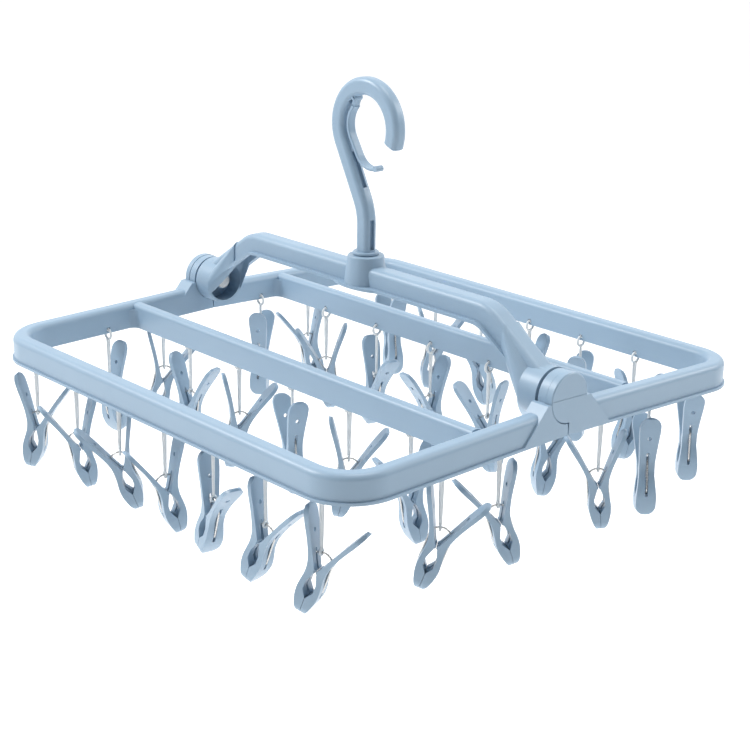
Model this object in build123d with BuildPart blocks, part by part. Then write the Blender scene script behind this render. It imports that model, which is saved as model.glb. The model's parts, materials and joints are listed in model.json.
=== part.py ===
"""Folding clip drying hanger: a swivel hook with a wind latch, an arched yoke, two frame halves that
fold up about one hinge line, and 32 spring pegs, each hung from an eyelet on its own link.

Millimetres, +Z up. The origin is the point of the hook that bears on the rail. X runs along the hinge
line and the yoke, Y across the two frame halves. Heights written as "up" are above the hinge line, and
HINGE_Z turns them into the part's own Z.
"""

import os
from math import cos, radians, sin, tan

from build123d import *

os.makedirs("parts", exist_ok=True)

# ---- driving dimensions -------------------------------------------------------------------------
FRAME_LENGTH = 440.0  # along X, over the lips
HALF_DEPTH = 213.0  # hinge line to the outer lip of one half
BAR_WIDTH = 16.0  # outer and side bars, lip included
BAR_HEIGHT = 21.0
BAR_TOP = -7.0  # top of the bars, up
WALL = 2.0
LIP_OUT = 1.6
LIP_THICK = 2.0
TOP_ROUND = 5.0
CORNER_R = 40.0
CROSSBAR_Y = 80.0
CROSSBAR_WIDTH = 10.0
DROOP = 1.5  # each half hangs this many degrees below level on its stop

HOOK_CENTRE = 163.5  # centre of the rail arc, up
HOOK_INNER_R = 24.5
HOOK_DEPTH = 14.0  # section in the hook's own plane
HOOK_THICK = 12.5  # section across it
LIMB_ANGLE = 28.0  # lean of the limb between the rail arc and the stem
TIP_ANGLE = -22.0  # where the rail arc ends

HUB_R = 19.0
HUB_X = (186.0, 203.5)
RING_R = 18.7
RING_X = (206.0, 213.6)
DISC_R = 19.0
DISC_X = (214.0, 220.0)
PIN_R = 4.0
RUNNING = 0.06  # radial running clearance

ARCH_TOP = 54.0  # crown of the yoke, up
ARCH_HEIGHT = 17.0
ARM_WIDTH = 18.0
FLANGE_WIDTH = 25.0
ARM_WALL = 2.2
ARM_SLOPE = 34.0
SHOULDER_X = 142.0  # where the level crown line meets the sloping one
BOSS_TOP = 62.0
BOSS_BOTTOM = 37.5

EYELET_UP = 3.4  # eyelet centre above the bar's lower edge
EYELET_R = 1.9
LINK_RING_R = 4.3
LINK_WIRE_R = 1.05
LINK_DROP = 46.0  # eyelet centre down to the spring wire
WIRE_R = 0.7
LEG_GAP = 0.3
OUTER_ROW_X = (-180.0, -120.0, -60.0, 0.0, 60.0, 120.0, 180.0)
CROSS_ROW_X = (-136.0, -68.0, 0.0, 68.0, 136.0)
SIDE_ROW_Y = (-55.0, -112.0)

HINGE_Z = -(HOOK_CENTRE + HOOK_INNER_R)
HALF_LENGTH = FRAME_LENGTH / 2
BAR_BOTTOM = BAR_TOP - BAR_HEIGHT
INNER_X = HALF_LENGTH - BAR_WIDTH
INNER_Y = HALF_DEPTH - BAR_WIDTH
HINGE_AXIS = Axis((0, 0, HINGE_Z), (1, 0, 0))


def save(part, name):
    """Label a finished piece and write it to its own STEP file."""
    part.label = name
    export_step(part, f"parts/{name}.step")


def level(up):
    """Horizontal plane at a height above the hinge line."""
    return Plane.XY.offset(HINGE_Z + up)


def along(up=0.0):
    """Upright plane along the hinge line: sketch x is X, sketch y is height above `up`."""
    return Plane(origin=(0, 0, HINGE_Z + up), x_dir=(1, 0, 0), z_dir=(0, -1, 0))


def square_to(x):
    """Plane square to the hinge line at x: sketch x is Y, sketch y is height above the hinge."""
    return Plane(origin=(x, 0, HINGE_Z), x_dir=(0, 1, 0), z_dir=(1, 0, 0))


# ---- hook, with the spindle that the yoke turns on ------------------------------------------------
COLLAR_R = 10.5
COLLAR_THICK = 2.5
COLLAR_UP = BOSS_TOP + 0.3
SPINDLE_R = 4.5
SPINDLE_END = 51.6
SCREW_R = 2.0
SCREW_DEEP = 12.0
STEM_UP = COLLAR_UP + COLLAR_THICK
GROOVE_WIDTH = 4.4
GROOVE_DEEP = 2.6
LATCH_ANGLE = 122.0  # where round the rail arc the latch is hung
LATCH_BARREL_R = 2.2
LATCH_WIDTH = 7.5
LATCH_PIN_R = 0.9
LATCH_PIN_LONG = 10.5
LATCH_SLACK = 0.3

HOOK_MID_R = HOOK_INNER_R + HOOK_DEPTH / 2
LIMB_X = -HOOK_MID_R * cos(radians(LIMB_ANGLE))
LIMB_UP = HOOK_CENTRE - HOOK_MID_R * sin(radians(LIMB_ANGLE))
BEND_UP = LIMB_UP + LIMB_X / tan(radians(LIMB_ANGLE))
LATCH_X = HOOK_INNER_R * cos(radians(LATCH_ANGLE))
LATCH_UP = HOOK_CENTRE + HOOK_INNER_R * sin(radians(LATCH_ANGLE))


def make_hook():
    """Rail arc, leaning limb and stem in one moulding, with a collar and a spindle below it."""
    limb_mid = ((LIMB_X + 0) / 2, 0, HINGE_Z + (LIMB_UP + BEND_UP) / 2)
    limb_plane = Plane(limb_mid, x_dir=(cos(radians(LIMB_ANGLE)), 0, sin(radians(LIMB_ANGLE))), z_dir=(0, -1, 0))
    with BuildPart() as hook:
        with BuildLine(along()) as path:
            FilletPolyline((0, STEM_UP), (0, BEND_UP), (LIMB_X, LIMB_UP), radius=45)
            CenterArc((0, HOOK_CENTRE), HOOK_MID_R, 180 + LIMB_ANGLE, TIP_ANGLE - 180 - LIMB_ANGLE)
        with BuildSketch(level(STEM_UP)):
            RectangleRounded(HOOK_DEPTH, HOOK_THICK, 4.5)
        sweep(path=path.line)
        tip = hook.faces().filter_by(GeomType.PLANE).sort_by(Axis.X)[-1]
        chamfer(tip.edges(), 1.6)
        # two grooves down the face, with the bridge between them
        with BuildSketch(limb_plane):
            with Locations((HOOK_DEPTH / 2, 3)):
                Rectangle(2 * GROOVE_DEEP, 30)
        extrude(amount=GROOVE_WIDTH / 2, both=True, mode=Mode.SUBTRACT)
        with BuildSketch(along()):
            with Locations((HOOK_DEPTH / 2, STEM_UP + 13.5)):
                Rectangle(2 * GROOVE_DEEP, 24)
        extrude(amount=GROOVE_WIDTH / 2, both=True, mode=Mode.SUBTRACT)
        with BuildSketch(level(COLLAR_UP)):
            Circle(COLLAR_R)
        extrude(amount=COLLAR_THICK)
        fillet(hook.edges().filter_by(GeomType.CIRCLE).filter_by(lambda e: abs(e.radius - COLLAR_R) < 0.01), 0.8)
        with BuildSketch(level(COLLAR_UP)):
            Circle(SPINDLE_R)
        extrude(amount=SPINDLE_END - COLLAR_UP)
        with BuildSketch(level(SPINDLE_END)):
            Circle(SCREW_R)
        extrude(amount=SCREW_DEEP, mode=Mode.SUBTRACT)
        # pocket for the latch's barrel, open to the inside of the arc, and its two pin holes
        with BuildSketch(along()):
            with Locations((LATCH_X, LATCH_UP)):
                Circle(LATCH_BARREL_R + LATCH_SLACK)
            with Locations(Location((LATCH_X * 0.9, HOOK_CENTRE + (LATCH_UP - HOOK_CENTRE) * 0.9), LATCH_ANGLE)):
                Rectangle(5.1, 2 * (LATCH_BARREL_R + LATCH_SLACK))
            with Locations(Location((LATCH_X - 2.4, LATCH_UP - 2.6), LATCH_ANGLE)):
                Rectangle(3.4, 6.4)
        extrude(amount=LATCH_WIDTH / 2 + LATCH_SLACK, both=True, mode=Mode.SUBTRACT)
        with BuildSketch(along()):
            with Locations((LATCH_X, LATCH_UP)):
                Circle(LATCH_PIN_R + RUNNING)
        extrude(amount=LATCH_PIN_LONG / 2 + 0.1, both=True, mode=Mode.SUBTRACT)
    save(hook.part, "hook")


def make_wind_latch():
    """Curved leaf on a barrel: it lies inside the rail arc and closes the mouth below the rail."""
    leaf_r = HOOK_INNER_R - 4.4
    tip_place = (12.5, HOOK_CENTRE - 31.0)
    start_angle = 134.0
    end_angle = 212.0
    leaf_end = (leaf_r * cos(radians(end_angle)), HOOK_CENTRE + leaf_r * sin(radians(end_angle)))
    heading = (-sin(radians(end_angle)), cos(radians(end_angle)))
    elbow = (leaf_end[0] + 15 * heading[0], leaf_end[1] + 15 * heading[1])
    with BuildPart() as latch:
        with BuildLine(along()) as path:
            root = CenterArc((0, HOOK_CENTRE), leaf_r, start_angle, end_angle - start_angle)
            drop = Line(root @ 1, elbow)
            TangentArc(drop @ 1, tip_place, tangent=drop % 1)
        with BuildSketch(Plane(path.line @ 0, z_dir=path.line % 0, x_dir=(0, 1, 0))):
            RectangleRounded(LATCH_WIDTH, 2.8, 1.0)
        sweep(path=path.line)
        with Locations(Location((tip_place[0], 0, HINGE_Z + tip_place[1]), (90, 0, 0))):
            Cylinder(2.3, LATCH_WIDTH)
        with BuildSketch(along()):
            with BuildLine():
                Polyline(
                    (LATCH_X, LATCH_UP),
                    (LATCH_X - 1.9, LATCH_UP - 1.0),
                    (leaf_r * cos(radians(138)) - 0.9, HOOK_CENTRE + leaf_r * sin(radians(138)) + 0.8),
                    (leaf_r * cos(radians(138)) + 0.9, HOOK_CENTRE + leaf_r * sin(radians(138)) - 0.8),
                    (LATCH_X + 1.2, LATCH_UP - 1.8),
                    close=True,
                )
            make_face()
        extrude(amount=(LATCH_WIDTH - 1.5) / 2, both=True)
        with Locations(Location((LATCH_X, 0, HINGE_Z + LATCH_UP), (90, 0, 0))):
            Cylinder(LATCH_BARREL_R, LATCH_WIDTH)
            Cylinder(LATCH_PIN_R, LATCH_PIN_LONG)
    save(latch.part, "wind_latch")


# ---- swivel fasteners under the boss --------------------------------------------------------------
SHELF_BOTTOM = 52.0
WASHER_R = 8.5
WASHER_THICK = 1.2


def make_swivel_fasteners():
    """Washer against the end of the spindle, and the screw that draws it up."""
    with BuildPart() as washer:
        with BuildSketch(level(SPINDLE_END - WASHER_THICK)):
            Circle(WASHER_R)
            Circle(SCREW_R + 0.3, mode=Mode.SUBTRACT)
        extrude(amount=WASHER_THICK)
    save(washer.part, "swivel_washer")
    head_up = SPINDLE_END - WASHER_THICK
    with BuildPart() as screw:
        with BuildSketch(level(head_up)):
            Circle(4.0)
        extrude(amount=-2.6)
        fillet(screw.faces().sort_by(Axis.Z)[0].edges(), 1.2)
        with BuildSketch(level(head_up)):
            Circle(SCREW_R)
        extrude(amount=SCREW_DEEP)
        with BuildSketch(level(head_up - 2.6)):
            Rectangle(4.4, 0.9)
            Rectangle(0.9, 4.4)
        extrude(amount=1.4, mode=Mode.SUBTRACT)
    save(screw.part, "swivel_screw")


# ---- yoke ---------------------------------------------------------------------------------------
PIN_BOSS_R = 7.0
HUB_WEB = 3.0
HEAD_THICK = 2.0


def make_yoke():
    """Hat-section arch between two bell-shaped hubs, with the swivel boss at its middle."""
    mid_up = ARCH_TOP - ARCH_HEIGHT / 2
    slope = tan(radians(ARM_SLOPE))
    shoulder = SHOULDER_X - ARCH_HEIGHT / 2 * tan(radians(ARM_SLOPE / 2))
    end_x = 190.0
    end_up = mid_up - (end_x - shoulder) * slope
    flare_x = 160.0
    flare_up = mid_up - (flare_x - shoulder) * slope
    band = ARCH_HEIGHT / cos(radians(ARM_SLOPE))
    path_points = ((-end_x, end_up), (-shoulder, mid_up), (shoulder, mid_up), (end_x, end_up))
    with BuildPart() as cavity:
        with BuildLine(along()) as hollow_path:
            FilletPolyline(*path_points, radius=30)
        with BuildSketch(Plane(hollow_path.line @ 0, z_dir=hollow_path.line % 0, x_dir=(0, -1, 0))):
            with Locations((0, ARM_WALL + 2)):
                Rectangle(ARM_WIDTH - 2 * ARM_WALL, ARCH_HEIGHT + 4)
        sweep(path=hollow_path.line)
        for side in (-1, 1):
            with BuildSketch(square_to(side * flare_x)):
                with Locations((0, flare_up - ARM_WALL - 6)):
                    RectangleRounded(ARM_WIDTH - 2 * ARM_WALL, band + 12, 3)
            with BuildSketch(square_to(side * (HUB_X[0] + 0.01))):
                with Locations((0, -9)):
                    RectangleRounded(2 * (HUB_R - ARM_WALL), 2 * (HUB_R - ARM_WALL) + 18, HUB_R - ARM_WALL - 0.2)
            loft()
            with BuildSketch(square_to(side * HUB_X[0])):
                Circle(HUB_R - ARM_WALL)
            extrude(amount=side * (HUB_X[1] - HUB_X[0] - HUB_WEB))
    with BuildPart() as yoke:
        with BuildLine(along()) as path:
            FilletPolyline(*path_points, radius=30)
        with BuildSketch(Plane(path.line @ 0, z_dir=path.line % 0, x_dir=(0, -1, 0))) as hat:
            with BuildSketch(mode=Mode.PRIVATE) as crown:
                Rectangle(ARM_WIDTH, ARCH_HEIGHT)
                fillet(crown.vertices().group_by(Axis.Y)[0], 5)
            add(crown.sketch)
            with Locations((0, ARCH_HEIGHT / 2 - ARM_WALL / 2)):
                Rectangle(FLANGE_WIDTH, ARM_WALL)
        sweep(path=path.line)
        for side in (-1, 1):
            with BuildSketch(square_to(side * flare_x)):
                with Locations((0, flare_up)):
                    RectangleRounded(ARM_WIDTH + 2, band, 4)
            with BuildSketch(square_to(side * HUB_X[0])):
                RectangleRounded(2 * HUB_R, 2 * HUB_R, HUB_R - 0.2)
            loft()
            with BuildSketch(square_to(side * HUB_X[0])):
                Circle(HUB_R)
            extrude(amount=side * (HUB_X[1] - HUB_X[0]))
        add(cavity.part, mode=Mode.SUBTRACT)
        # swivel boss: a cone on the crown, spread at its foot into a lens-shaped flange
        with BuildSketch(level(BOSS_BOTTOM)):
            Circle(17.5)
        with BuildSketch(level(BOSS_TOP)):
            Circle(14.5)
        loft()
        with BuildSketch(level(BOSS_BOTTOM - 0.5)):
            Ellipse(34, 18.5)
        extrude(amount=ARM_WALL)
        fillet(yoke.faces().filter_by(Axis.Z).sort_by(Axis.Z)[-1].edges().sort_by(SortBy.RADIUS)[-1:], 1.5)
        with BuildSketch(level(BOSS_BOTTOM - 1)):
            Circle(13.0)
            Rectangle(50, ARM_WIDTH - 2 * ARM_WALL)
        extrude(amount=SHELF_BOTTOM - BOSS_BOTTOM + 1, mode=Mode.SUBTRACT)
        with BuildSketch(level(SHELF_BOTTOM - 1)):
            Circle(SPINDLE_R + RUNNING)
        extrude(amount=BOSS_TOP - SHELF_BOTTOM + 2, mode=Mode.SUBTRACT)
        # pin bosses inside the hubs, and the press bores through them
        for side in (-1, 1):
            with BuildSketch(square_to(side * (HUB_X[0] + 4))):
                Circle(PIN_BOSS_R)
            extrude(amount=side * (HUB_X[1] - HUB_X[0] - 4))
            with BuildSketch(square_to(side * HUB_X[0])):
                Circle(PIN_R)
            extrude(amount=side * 30, mode=Mode.SUBTRACT)
    save(yoke.part, "yoke")


def make_hinge_pins():
    """Headed pin at each end: pressed in the hub, running in the ring and in the disc's blind bore."""
    for side, name in ((-1, "hinge_pin_left"), (1, "hinge_pin_right")):
        with BuildPart() as pin:
            with BuildSketch(square_to(side * (HUB_X[0] + 4))):
                Circle(PIN_R)
            extrude(amount=side * 27.2)
            with BuildSketch(square_to(side * (HUB_X[0] + 4 - HEAD_THICK))):
                Circle(6.0)
            extrude(amount=side * HEAD_THICK)
        save(pin.part, name)


# ---- frame half ---------------------------------------------------------------------------------
BLOCK_TOP = -1.0
BLOCK_END = -23.0  # the block's flat top runs from here to the stop face
RAMP_END = -46.0  # foot of the block's slanted edge
STOP_Y = -1.2
DISC_BORE_DEEP = 4.0
LINE_DEEP = 0.3  # witness line across the disc's face
LINE_WIDTH = 0.6


def bar_section(plane):
    """Inverted channel: rounded top, open below, with a lip along the outer wall's lower edge."""
    outer = LIP_OUT
    with BuildSketch(plane) as section:
        with BuildSketch(mode=Mode.PRIVATE) as shell:
            with Locations((0, BAR_BOTTOM)):
                Rectangle(BAR_WIDTH - outer, BAR_HEIGHT, align=(Align.MIN, Align.MIN))
            fillet(shell.vertices().group_by(Axis.Y)[-1], TOP_ROUND)
        add(shell.sketch)
        with Locations((BAR_WIDTH / 2, BAR_BOTTOM)):
            Rectangle(BAR_WIDTH / 2, LIP_THICK, align=(Align.MIN, Align.MIN))
        with BuildSketch(mode=Mode.PRIVATE) as hollow:
            with Locations((WALL, BAR_BOTTOM - 1)):
                Rectangle(
                    BAR_WIDTH - outer - 2 * WALL, BAR_HEIGHT - WALL + 1, align=(Align.MIN, Align.MIN)
                )
            fillet(hollow.vertices().group_by(Axis.Y)[-1], TOP_ROUND - WALL)
        add(hollow.sketch, mode=Mode.SUBTRACT)
    return section


def eyelets():
    """Eyelet centres of the front half while level: point, and the turn of the bar about Z."""
    up = BAR_BOTTOM + EYELET_UP
    points = []
    for x in OUTER_ROW_X:
        points.append((x, -(INNER_Y + WALL / 2), up, 0))
    for x in CROSS_ROW_X:
        points.append((x, -(CROSSBAR_Y - CROSSBAR_WIDTH / 2 + WALL / 2), up, 0))
    for y in SIDE_ROW_Y:
        points.append((-(INNER_X + WALL / 2), y, up, 90))
        points.append((INNER_X + WALL / 2, y, up, 90))
    return points


def make_frame_halves():
    """One moulding used twice: a U-shaped bar, a crossbar, and a hinge ring and a hinge disc."""
    mid_x = INNER_X
    mid_y = -INNER_Y
    bend_r = CORNER_R - BAR_WIDTH
    with BuildPart() as half:
        with BuildLine(Plane.XY.offset(HINGE_Z)) as path:
            FilletPolyline((mid_x, STOP_Y - 19), (mid_x, mid_y), (-mid_x, mid_y), (-mid_x, STOP_Y - 19), radius=bend_r)
        section = bar_section(Plane(origin=(mid_x, STOP_Y - 19, HINGE_Z), x_dir=(1, 0, 0), z_dir=(0, -1, 0)))
        sweep(sections=section.sketch, path=path.line)
        # crossbar: ends are let into the side bars' inner walls and spread into them
        span = INNER_X + WALL / 2
        with BuildSketch(square_to(-span)) as bar:
            with Locations((-CROSSBAR_Y, BAR_BOTTOM)):
                Rectangle(CROSSBAR_WIDTH, BAR_HEIGHT, align=(Align.CENTER, Align.MIN))
            fillet(bar.vertices().group_by(Axis.Y)[-1], CROSSBAR_WIDTH / 2 - 1)
        extrude(amount=2 * span)
        with BuildSketch(level(BAR_BOTTOM)):
            for side in (-1, 1):
                with Locations((side * (INNER_X - 3), -CROSSBAR_Y)):
                    Rectangle(8, CROSSBAR_WIDTH + 14)
                for edge in (-1, 1):
                    with Locations((side * (INNER_X - 7), -CROSSBAR_Y + edge * (CROSSBAR_WIDTH / 2 + 7))):
                        Circle(7, mode=Mode.SUBTRACT)
        extrude(amount=BAR_HEIGHT - TOP_ROUND)
        with BuildSketch(level(BAR_BOTTOM - 1)):
            with Locations((0, -CROSSBAR_Y)):
                Rectangle(2 * INNER_X - 2 * WALL, CROSSBAR_WIDTH - 2 * WALL)
        extrude(amount=BAR_HEIGHT - WALL - 1, mode=Mode.SUBTRACT)
        # solid hinge blocks, raised above the bars
        with BuildSketch(square_to(INNER_X)):
            with BuildLine():
                Polyline(
                    (STOP_Y, BAR_BOTTOM),
                    (STOP_Y, BLOCK_TOP),
                    (BLOCK_END, BLOCK_TOP),
                    (RAMP_END, BAR_BOTTOM + LIP_THICK),
                    (RAMP_END, BAR_BOTTOM),
                    close=True,
                )
            make_face()
        block = extrude(amount=BAR_WIDTH)
        mirror(block, about=Plane.YZ)
        # ring at the right, disc at the left, each with room for the other half's
        with BuildSketch(square_to(RING_X[0])):
            Circle(RING_R)
        extrude(amount=RING_X[1] - RING_X[0])
        with BuildSketch(square_to(RING_X[1])):
            Circle(DISC_R + 0.4)
        extrude(amount=DISC_X[1] - RING_X[1] + 2, mode=Mode.SUBTRACT)
        with BuildSketch(square_to(INNER_X - 1)):
            Circle(HUB_R + 0.4)
        extrude(amount=RING_X[0] - INNER_X + 1, mode=Mode.SUBTRACT)
        with BuildSketch(square_to(-INNER_X + 1)):
            Circle(RING_R + 0.4)
        extrude(amount=-(DISC_X[0] - INNER_X + 1), mode=Mode.SUBTRACT)
        with BuildSketch(square_to(-DISC_X[0])):
            Circle(DISC_R)
        disc = extrude(amount=-(DISC_X[1] - DISC_X[0]))
        chamfer(half.edges().filter_by(GeomType.CIRCLE).group_by(Axis.X)[0].sort_by(SortBy.RADIUS)[-1:], 0.8)
        with Locations((-DISC_X[1], 0, HINGE_Z)):
            Box(2 * LINE_DEEP, 2 * DISC_R + 1, LINE_WIDTH, mode=Mode.SUBTRACT)
        with BuildSketch(square_to(RING_X[0] - 1)):
            Circle(PIN_R + RUNNING)
        extrude(amount=10, mode=Mode.SUBTRACT)
        with BuildSketch(square_to(-DISC_X[0])):
            Circle(PIN_R + RUNNING)
        extrude(amount=-DISC_BORE_DEEP, mode=Mode.SUBTRACT)
        for x, y, up, turn in eyelets():
            with Locations(Location((x, y, HINGE_Z + up), (90, 0, turn))):
                Cylinder(EYELET_R, WALL + 1.0, mode=Mode.SUBTRACT)
    front = half.part.rotate(HINGE_AXIS, DROOP)
    save(front, "frame_half_front")
    save(front.rotate(Axis.Z, 180), "frame_half_rear")


# ---- pegs: local frame with the spring's arc over the origin, handles up, jaws down ---------------
FULCRUM_Z = -13.0
HANDLE_TOP = 30.0
JAW_TIP = -48.0
ARC_R = 8.0
PADDLE_HALF = 8.0  # half widths of the leg's face
WAIST_HALF = 6.0
JAW_HALF = 7.8
SLOT_HALF = 1.1
SLOT_TOP = 1.5
SLOT_BOTTOM = -33.0


def make_leg(side):
    """One leg: a side profile and a face outline crossed, slotted for the spring, with two cheeks."""
    half_gap = LEG_GAP / 2
    with BuildPart() as leg:
        with BuildSketch(Plane.XZ):
            with BuildLine():
                Polyline(
                    (22.4, HANDLE_TOP),
                    (20.6, HANDLE_TOP - 1.0),
                    (12.6, 13),
                    (4.9, -4),
                    (1.4, -11.4),
                    (1.4, -15),
                    (3.9, -22),
                    (3.9, -28),
                    (half_gap, -33.5),
                    (half_gap, JAW_TIP + 0.8),
                    (1.2, JAW_TIP),
                    (2.8, JAW_TIP + 0.6),
                )
                Spline(
                    (2.8, JAW_TIP + 0.6),
                    (6.8, -38),
                    (8.4, -28),
                    (7.2, -14),
                    (9.6, -2),
                    (16.2, 13),
                    (23.6, HANDLE_TOP - 1.4),
                )
                Line((23.6, HANDLE_TOP - 1.4), (22.4, HANDLE_TOP))
            make_face()
        extrude(amount=10, both=True)
        with BuildSketch(Plane.YZ):
            with BuildLine():
                ThreePointArc((0, JAW_TIP), (-5.6, JAW_TIP + 2.4), (-JAW_HALF, JAW_TIP + JAW_HALF))
                Polyline((-JAW_HALF, JAW_TIP + JAW_HALF), (-JAW_HALF, -34), (-WAIST_HALF, -17))
                Polyline((-WAIST_HALF, -17), (-WAIST_HALF, -7), (-PADDLE_HALF, HANDLE_TOP - PADDLE_HALF - 4))
                Line((-PADDLE_HALF, HANDLE_TOP - PADDLE_HALF - 4), (-PADDLE_HALF, HANDLE_TOP - PADDLE_HALF))
                ThreePointArc((-PADDLE_HALF, HANDLE_TOP - PADDLE_HALF), (-5.7, HANDLE_TOP - 2.3), (0, HANDLE_TOP))
                Line((0, HANDLE_TOP), (0, JAW_TIP))
            make_face()
            mirror(about=Plane.YZ)
        extrude(amount=30, both=True, mode=Mode.INTERSECT)
        with Locations((1.75, 0, FULCRUM_Z)):
            Cylinder(1.6, 10.4, rotation=(90, 0, 0))
        with BuildSketch(Plane.YZ):
            with Locations((0, (SLOT_TOP + SLOT_BOTTOM) / 2)):
                SlotOverall(SLOT_TOP - SLOT_BOTTOM, 2 * SLOT_HALF, rotation=90)
            with Locations((0, 13)):
                Circle(1.6)
        extrude(amount=30, both=True, mode=Mode.SUBTRACT)
    if side < 0:
        return leg.part.rotate(Axis.Z, 180)
    return leg.part


def make_spring():
    """Wire bow: a half round over the top, two straight limbs and two ends hooked inwards."""
    limb_top = WIRE_R - ARC_R
    with BuildPart() as spring:
        with BuildLine(Plane.XZ) as path:
            FilletPolyline((5.4, -31.2), (ARC_R, -27.4), (ARC_R, limb_top), radius=2.0)
            CenterArc((0, limb_top), ARC_R, 0, 180)
            FilletPolyline((-ARC_R, limb_top), (-ARC_R, -27.4), (-5.4, -31.2), radius=2.0)
        with BuildSketch(Plane(path.line @ 0, z_dir=path.line % 0)):
            Circle(WIRE_R)
        sweep(path=path.line)
    return spring.part


def make_link(bar_turn, yaw):
    """Ring through the eyelet, tapered stem and the small eye that holds the spring's arc."""
    curl_r = 2.1
    curl_wire_r = 0.9
    stem_top = -2 * LINK_RING_R + 0.2
    stem_end = -LINK_DROP + curl_r - 0.2
    with BuildPart() as link:
        with Locations(Location((0, 0, -LINK_RING_R), (0, 0, bar_turn)) * Location((0, 0, 0), (0, 90, 0))):
            Torus(LINK_RING_R, LINK_WIRE_R)
        with Locations(Location((0, 0, -LINK_DROP), (0, 0, yaw)) * Location((0, 0, 0), (0, 90, 0))):
            Torus(curl_r, curl_wire_r)
        with BuildSketch(Plane.XY.offset(stem_top)):
            Ellipse(2.0, 1.2, rotation=yaw)
        with BuildSketch(Plane.XY.offset(stem_end)):
            Ellipse(1.2, 0.9, rotation=yaw)
        loft()
    return link.part


PEG_NAMES = (
    *(f"outer_{number}" for number in range(1, len(OUTER_ROW_X) + 1)),
    *(f"cross_{number}" for number in range(1, len(CROSS_ROW_X) + 1)),
    "side_left_1",
    "side_right_1",
    "side_left_2",
    "side_right_2",
)
FRONT_YAWS = (40, 70, 55, -105, -10, 10, 25, 15, 60, -20, 50, 75, 60, 60, 100, 40)
FRONT_TILTS = (10, -12, -20, 14, 20, 20, 20, 8, 14, -9, 12, -10, 14, -18, -12, 20)
REAR_YAWS = (-42, 70, -60, 75, 20, 55, -20, 60, 15, 85, -15, 50, 48, -50, -42, 70)
REAR_TILTS = (6, -12, 10, 8, 14, -10, 9, -8, 12, 10, -14, 7, 6, 12, 14, 13)
BENCH_PEGS = ("front_outer_4", "front_outer_5", "front_outer_6", "front_outer_7", "rear_side_left_2", "rear_side_left_1")


def make_pegs():
    """Hang a peg from every eyelet; the bench pegs are written piece by piece, the rest one node each."""
    spring = make_spring()
    legs = (make_leg(-1), make_leg(1))
    for half, yaws, tilts, turn in (("front", FRONT_YAWS, FRONT_TILTS, 0), ("rear", REAR_YAWS, REAR_TILTS, 180)):
        for name, point, yaw, tilt in zip(PEG_NAMES, eyelets(), yaws, tilts):
            x, y, up, bar_turn = point
            droop_y = y * cos(radians(DROOP)) - up * sin(radians(DROOP))
            droop_up = y * sin(radians(DROOP)) + up * cos(radians(DROOP))
            place = Location((0, 0, 0), (0, 0, turn)) * Location((x, droop_y, HINGE_Z + droop_up))
            hang = place * Location((0, 0, -LINK_DROP - WIRE_R), (0, 0, yaw))
            lean = hang * Location((0, 0, WIRE_R - ARC_R), (0, tilt, 0)) * Location((0, 0, ARC_R - WIRE_R))
            full_name = f"{half}_{name}"
            pieces = {
                "link": make_link(bar_turn, yaw).moved(place),
                "spring": spring.moved(lean),
                "fixed_leg": legs[0].moved(lean),
                "moving_leg": legs[1].moved(lean),
            }
            if full_name in BENCH_PEGS:
                for kind, piece in pieces.items():
                    save(piece, f"peg_{full_name}_{kind}")
            else:
                save(Compound(children=list(pieces.values())), f"peg_{full_name}")


make_hook()
make_wind_latch()
make_swivel_fasteners()
make_yoke()
make_hinge_pins()
make_frame_halves()
make_pegs()
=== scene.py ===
"""Looks of the folding clip drying hanger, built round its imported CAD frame.

Metres, +Z up, origin where the hook bears on its rail, X along the hinge line.
"""
import json
from math import cos, radians, sin

import bmesh
import bpy
from mathutils import Matrix, Vector


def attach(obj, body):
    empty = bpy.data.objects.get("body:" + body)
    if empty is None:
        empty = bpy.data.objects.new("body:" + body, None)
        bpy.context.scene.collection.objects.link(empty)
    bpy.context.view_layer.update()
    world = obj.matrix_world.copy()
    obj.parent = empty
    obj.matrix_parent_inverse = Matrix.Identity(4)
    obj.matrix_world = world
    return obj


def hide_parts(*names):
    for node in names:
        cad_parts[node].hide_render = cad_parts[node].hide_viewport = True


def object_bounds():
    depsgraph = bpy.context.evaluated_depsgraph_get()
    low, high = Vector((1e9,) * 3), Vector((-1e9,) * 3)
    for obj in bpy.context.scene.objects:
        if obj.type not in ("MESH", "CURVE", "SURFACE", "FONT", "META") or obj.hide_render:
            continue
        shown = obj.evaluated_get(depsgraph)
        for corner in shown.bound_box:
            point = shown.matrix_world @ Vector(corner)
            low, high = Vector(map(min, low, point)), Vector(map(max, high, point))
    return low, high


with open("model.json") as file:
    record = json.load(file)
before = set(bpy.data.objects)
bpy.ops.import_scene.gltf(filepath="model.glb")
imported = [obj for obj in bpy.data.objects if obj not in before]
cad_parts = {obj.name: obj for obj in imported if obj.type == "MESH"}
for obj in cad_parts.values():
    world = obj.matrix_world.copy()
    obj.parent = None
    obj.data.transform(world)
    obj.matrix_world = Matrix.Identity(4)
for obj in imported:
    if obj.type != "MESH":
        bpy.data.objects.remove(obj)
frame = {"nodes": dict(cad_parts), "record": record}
cad_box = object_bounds()
MM = 0.001

# ---- colours, linear ------------------------------------------------------------------------------
BLUE = (0.290, 0.405, 0.520, 1)
BLUE_DEEP = (0.255, 0.365, 0.480, 1)
LINK_WHITE = (0.86, 0.89, 0.90, 1)
LINK_CLOUD = (0.78, 0.82, 0.84, 1)
WIRE = (0.62, 0.62, 0.61, 1)
WIRE_DULL = (0.48, 0.48, 0.47, 1)
FLOOR = (0.93, 0.93, 0.93, 1)
FLOOR_MOTTLE = (0.90, 0.90, 0.90, 1)

# ---- finish of the meshes -------------------------------------------------------------------------
MERGE_DISTANCE = 0.002 * MM
COPLANAR_ANGLE = radians(0.6)
SHARP_ANGLE = radians(38)  # edges that turn by more than this are rounded
SHELL_SEGMENTS = 2
PEG_SEGMENTS = 3


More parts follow.
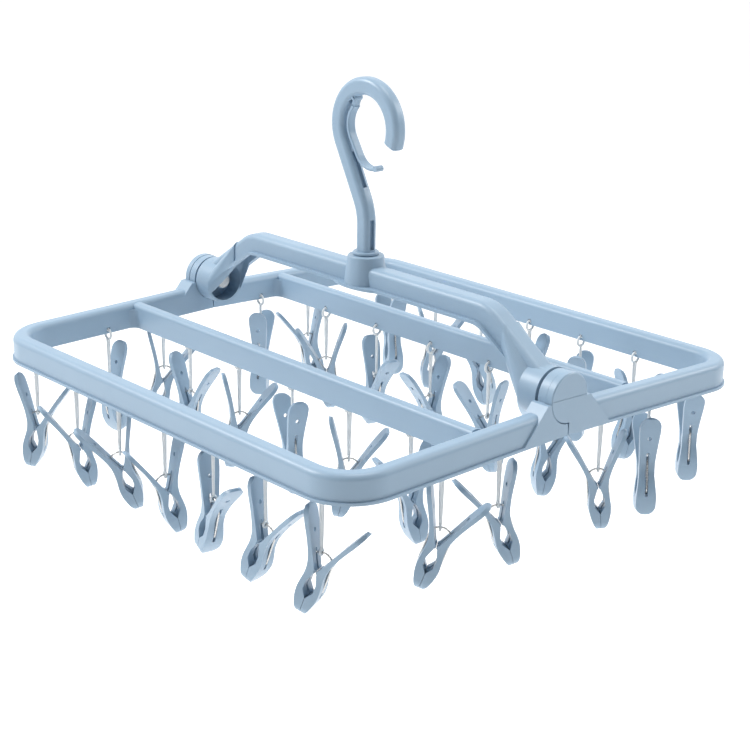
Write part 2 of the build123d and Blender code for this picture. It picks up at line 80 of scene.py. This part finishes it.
# ---- materials ------------------------------------------------------------------------------------
def new_material(name):
    """An empty node material and its shader."""
    material = bpy.data.materials.new(name)
    material.use_nodes = True
    return material, material.node_tree, material.node_tree.nodes["Principled BSDF"]


def noise(tree, scale, detail=3.0, roughness=0.5):
    """Object-space noise, whose scale is in cells per metre."""
    coords = tree.nodes.new("ShaderNodeTexCoord")
    texture = tree.nodes.new("ShaderNodeTexNoise")
    texture.inputs["Scale"].default_value = scale
    texture.inputs["Detail"].default_value = detail
    texture.inputs["Roughness"].default_value = roughness
    tree.links.new(coords.outputs["Object"], texture.inputs["Vector"])
    return texture


def ramp(tree, source, low, high):
    """Map a 0 to 1 output onto the range low to high."""
    node = tree.nodes.new("ShaderNodeMapRange")
    node.inputs["To Min"].default_value = low
    node.inputs["To Max"].default_value = high
    tree.links.new(source, node.inputs["Value"])
    return node.outputs["Result"]


def blend_colours(tree, factor, first, second):
    """Mix two colours by an output."""
    node = tree.nodes.new("ShaderNodeMix")
    node.data_type = "RGBA"
    node.inputs["A"].default_value = first
    node.inputs["B"].default_value = second
    tree.links.new(factor, node.inputs["Factor"])
    return node.outputs["Result"]


def bump(tree, shader, height, distance, strength):
    """Raise the surface by an output."""
    node = tree.nodes.new("ShaderNodeBump")
    node.inputs["Distance"].default_value = distance
    node.inputs["Strength"].default_value = strength
    tree.links.new(height, node.inputs["Height"])
    tree.links.new(node.outputs["Normal"], shader.inputs["Normal"])


def moulded_plastic(name, tint, deep, rough):
    """Satin injection-moulded plastic: faint flow marks in its colour, a fine spark-eroded skin."""
    material, tree, shader = new_material(name)
    flow = noise(tree, 14, 4)
    skin = noise(tree, 1800, 2)
    smear = noise(tree, 90, 4, 0.6)
    tree.links.new(blend_colours(tree, ramp(tree, flow.outputs["Fac"], 0.1, 0.9), tint, deep),
                   shader.inputs["Base Color"])
    tree.links.new(ramp(tree, smear.outputs["Fac"], rough - 0.07, rough + 0.09), shader.inputs["Roughness"])
    bump(tree, shader, skin.outputs["Fac"], 0.00004, 0.35)
    shader.inputs["IOR"].default_value = 1.49
    shader.inputs["Subsurface Weight"].default_value = 0.08
    shader.inputs["Subsurface Radius"].default_value = (0.5, 0.8, 1.0)
    shader.inputs["Subsurface Scale"].default_value = 0.0015
    return material


def clear_white_plastic():
    """Milky polypropylene of the links."""
    material, tree, shader = new_material("link_plastic")
    cloud = noise(tree, 220, 3)
    tree.links.new(blend_colours(tree, cloud.outputs["Fac"], LINK_WHITE, LINK_CLOUD),
                   shader.inputs["Base Color"])
    tree.links.new(ramp(tree, cloud.outputs["Fac"], 0.24, 0.4), shader.inputs["Roughness"])
    bump(tree, shader, noise(tree, 900, 2).outputs["Fac"], 0.00003, 0.3)
    shader.inputs["Transmission Weight"].default_value = 0.25
    shader.inputs["Subsurface Weight"].default_value = 0.35
    shader.inputs["Subsurface Radius"].default_value = (1.0, 1.0, 1.0)
    shader.inputs["Subsurface Scale"].default_value = 0.001
    return material


def steel(name, rough):
    """Drawn steel wire and turned pins."""
    material, tree, shader = new_material(name)
    draw = noise(tree, 700, 4)
    tree.links.new(blend_colours(tree, draw.outputs["Fac"], WIRE, WIRE_DULL),
                   shader.inputs["Base Color"])
    tree.links.new(ramp(tree, draw.outputs["Fac"], rough - 0.06, rough + 0.14), shader.inputs["Roughness"])
    bump(tree, shader, draw.outputs["Fac"], 0.00002, 0.3)
    shader.inputs["Metallic"].default_value = 1.0
    return material


def floor_paint():
    """Pale matt studio floor."""
    material, tree, shader = new_material("studio_floor")
    mottle = noise(tree, 3, 3)
    tree.links.new(blend_colours(tree, mottle.outputs["Fac"], FLOOR, FLOOR_MOTTLE),
                   shader.inputs["Base Color"])
    shader.inputs["Roughness"].default_value = 0.8
    shader.inputs["Emission Color"].default_value = (1, 1, 1, 1)
    shader.inputs["Emission Strength"].default_value = 0.3
    return material


FRAME_PLASTIC = moulded_plastic("frame_plastic", BLUE, BLUE_DEEP, 0.36)
PEG_PLASTIC = moulded_plastic("peg_plastic", BLUE, BLUE_DEEP, 0.33)
HOOK_PLASTIC = moulded_plastic("hook_plastic", BLUE, BLUE_DEEP, 0.30)
LINK_PLASTIC = clear_white_plastic()
SPRING_STEEL = steel("spring_steel", 0.24)
PIN_STEEL = steel("pin_steel", 0.32)


# ---- meshes ---------------------------------------------------------------------------------------
def islands(mesh):
    """The separate solids of a bmesh, each a list of its faces."""
    left = set(mesh.faces)
    found = []
    while left:
        stack = [left.pop()]
        group = []
        while stack:
            face = stack.pop()
            group.append(face)
            for edge in face.edges:
                for other in edge.link_faces:
                    if other in left:
                        left.remove(other)
                        stack.append(other)
        found.append(group)
    return found


def extent(faces):
    """Lowest corner, highest corner and volume of a closed group of faces."""
    points = [vert.co for face in faces for vert in face.verts]
    low = Vector([min(p[axis] for p in points) for axis in range(3)])
    high = Vector([max(p[axis] for p in points) for axis in range(3)])
    middle = (low + high) / 2
    volume = 0.0
    for face in faces:
        first = face.verts[0].co - middle
        for one, two in zip(face.verts[1:], face.verts[2:]):
            volume += first.dot((one.co - middle).cross(two.co - middle)) / 6
    return low, high, abs(volume)


def tidy_faces(mesh):
    """Join the split corners of the CAD mesh and its coplanar triangles."""
    bmesh.ops.remove_doubles(mesh, verts=mesh.verts, dist=MERGE_DISTANCE)
    bmesh.ops.dissolve_limit(mesh, angle_limit=COPLANAR_ANGLE, verts=mesh.verts, edges=mesh.edges)


def finished_piece(name, mesh, material, body, nodes, edge_round, segments):
    """Make an object of a bmesh with softened edges, and let it stand for its CAD nodes."""
    data = bpy.data.meshes.new(name)
    mesh.to_mesh(data)
    mesh.free()
    for face in data.polygons:
        face.use_smooth = True
    data.materials.append(material)
    piece = bpy.data.objects.new(name, data)
    bpy.context.scene.collection.objects.link(piece)
    soften = piece.modifiers.new("edge_round", "BEVEL")
    soften.width = edge_round
    soften.segments = segments
    soften.limit_method = "ANGLE"
    soften.angle_limit = SHARP_ANGLE
    soften.use_clamp_overlap = True
    soften.harden_normals = True
    shade = piece.modifiers.new("shade", "WEIGHTED_NORMAL")
    shade.keep_sharp = True
    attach(piece, body)
    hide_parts(*nodes)


def copy_of(node):
    """A tidy bmesh of one CAD node."""
    mesh = bmesh.new()
    mesh.from_mesh(frame["nodes"][node].data)
    tidy_faces(mesh)
    return mesh


def node_body(node):
    """The body that a CAD node belongs to."""
    bodies = frame["record"]["behaviour"]["bodies"]
    return next(body for body, nodes in bodies.items() if node in nodes)


def make_structure():
    """Hook, latch, yoke and halves, with the sharp moulding edges eased."""
    for node, material, edge_round in (
        ("hook", HOOK_PLASTIC, 0.5 * MM),
        ("wind_latch", HOOK_PLASTIC, 0.3 * MM),
        ("yoke", FRAME_PLASTIC, 0.45 * MM),
        ("frame_half_front", FRAME_PLASTIC, 0.45 * MM),
        ("frame_half_rear", FRAME_PLASTIC, 0.45 * MM),
    ):
        finished_piece(f"{node}_shell", copy_of(node), material, node_body(node), [node], edge_round,
                       SHELL_SEGMENTS)
    for node in ("swivel_washer", "swivel_screw", "hinge_pin_left", "hinge_pin_right"):
        finished_piece(f"{node}_turned", copy_of(node), PIN_STEEL, node_body(node), [node], 0.2 * MM,
                       SHELL_SEGMENTS)


def take_out(source, faces):
    """A new bmesh that holds only some faces of another."""
    part = bmesh.new()
    seen = {}
    for face in faces:
        corners = []
        for vert in face.verts:
            if vert not in seen:
                seen[vert] = part.verts.new(vert.co)
            corners.append(seen[vert])
        part.faces.new(corners)
    return part


def make_pegs():
    """Every peg as a link, a spring and two legs, each with its own finish."""
    kinds = {
        "link": (LINK_PLASTIC, 0.12 * MM, "white_plastic"),
        "spring": (SPRING_STEEL, 0.1 * MM, "steel"),
        "leg": (PEG_PLASTIC, 1.0 * MM, "blue_plastic"),
    }
    for node in sorted(frame["nodes"]):
        if not node.startswith("peg_"):
            continue
        body = node_body(node)
        mesh = copy_of(node)
        groups = [(extent(group), group) for group in islands(mesh)]
        groups.sort(key=lambda item: item[0][2])
        if len(groups) == 1:
            ending = node.rsplit("_", 1)[1]
            kind = {"link": "link", "spring": "spring"}.get(ending, "leg")
            material, edge_round, slot = kinds[kind]
            finished_piece(f"{node}_{kind}_piece", mesh, material, body, [node], edge_round,
                           PEG_SEGMENTS)
            continue
        named = zip(("spring", "link", "leg", "leg"), ("spring", "link", "leg_a", "leg_b"), groups)
        for kind, label, (_, group) in named:
            material, edge_round, slot = kinds[kind]
            finished_piece(f"{node}_{label}", take_out(mesh, group), material, body, [node], edge_round,
                           PEG_SEGMENTS)
        mesh.free()


# ---- studio ---------------------------------------------------------------------------------------
AZIMUTH = radians(47.68)
ELEVATION = radians(18.35)
ROLL = radians(1.01)
DISTANCE = 1.3221
ASIDE = -0.0082
ABOVE = 0.0373
SENSOR_MM = 36.0
FOCAL_SENSORS = 2.1866  # focal length in sensor widths
FLOOR_DROP = 0.35  # below the lowest point of the hanger
FLOOR_HALF = 30
HINGE = next(Vector(joint["pos_m"]) for joint in frame["record"]["behaviour"]["joints"]
             if joint["name"] == "fold_front")


def make_camera():
    """The main view, given as two angles and a distance from the middle of the hinge line."""
    back = Vector((sin(AZIMUTH) * cos(ELEVATION), -cos(AZIMUTH) * cos(ELEVATION), sin(ELEVATION)))
    forward = -back
    right = forward.cross(Vector((0, 0, 1))).normalized()
    up = right.cross(forward)
    across = right * cos(ROLL) + up * sin(ROLL)
    upward = up * cos(ROLL) - right * sin(ROLL)
    place = HINGE + back * DISTANCE - across * ASIDE - upward * ABOVE
    data = bpy.data.cameras.new("camera")
    data.sensor_width = SENSOR_MM
    data.lens = FOCAL_SENSORS * SENSOR_MM
    camera = bpy.data.objects.new("camera", data)
    turn = Matrix((across, upward, back)).transposed().to_4x4()
    camera.matrix_world = Matrix.Translation(place) @ turn
    bpy.context.scene.collection.objects.link(camera)
    bpy.context.scene.camera = camera


def add_light(name, place, size, power):
    """A white soft box that faces the middle of the hinge line."""
    data = bpy.data.lights.new(name, "AREA")
    data.shape = "SQUARE"
    data.size = size
    data.energy = power
    light = bpy.data.objects.new(name, data)
    light.location = place
    light.rotation_euler = (HINGE - Vector(place)).to_track_quat("-Z", "Y").to_euler()
    bpy.context.scene.collection.objects.link(light)


def make_surround():
    """A white sweep behind the hanger that falls off towards the viewer's right, for modelling."""
    world = bpy.data.worlds.new("surround")
    world.use_nodes = True
    tree = world.node_tree
    direction = tree.nodes.new("ShaderNodeTexCoord")
    towards = tree.nodes.new("ShaderNodeVectorMath")
    towards.operation = "DOT_PRODUCT"
    towards.inputs[1].default_value = Vector((-0.80, 0.42, 0.30)).normalized()
    tree.links.new(direction.outputs["Generated"], towards.inputs[0])
    fade = tree.nodes.new("ShaderNodeMapRange")
    fade.inputs["From Min"].default_value = -0.75
    fade.inputs["From Max"].default_value = 0.55
    fade.inputs["To Min"].default_value = 0.14
    fade.inputs["To Max"].default_value = 1.04
    tree.links.new(towards.outputs["Value"], fade.inputs["Value"])
    tree.links.new(fade.outputs["Result"], tree.nodes["Background"].inputs["Strength"])
    tree.nodes["Background"].inputs["Color"].default_value = (1, 1, 1, 1)
    bpy.context.scene.world = world


def make_studio():
    """Pale floor, graded surround and three soft boxes."""
    data = bpy.data.meshes.new("floor")
    level = cad_box[0][2] - FLOOR_DROP
    half = FLOOR_HALF
    corners = [(-half, -half, level), (half, -half, level), (half, half, level), (-half, half, level)]
    data.from_pydata(corners, [], [(0, 1, 2, 3)])
    data.materials.append(floor_paint())
    floor = bpy.data.objects.new("floor", data)
    bpy.context.scene.collection.objects.link(floor)
    make_surround()
    add_light("key", (-1.3, -1.2, 1.3), 0.9, 34)
    add_light("top", (0.2, 0.2, 1.7), 1.0, 14)
    add_light("rim", (0.9, 1.6, 0.9), 0.8, 14)
    bpy.context.scene.view_settings.view_transform = "Standard"


make_structure()
make_pegs()
make_camera()
make_studio()
bpy.context.view_layer.update()
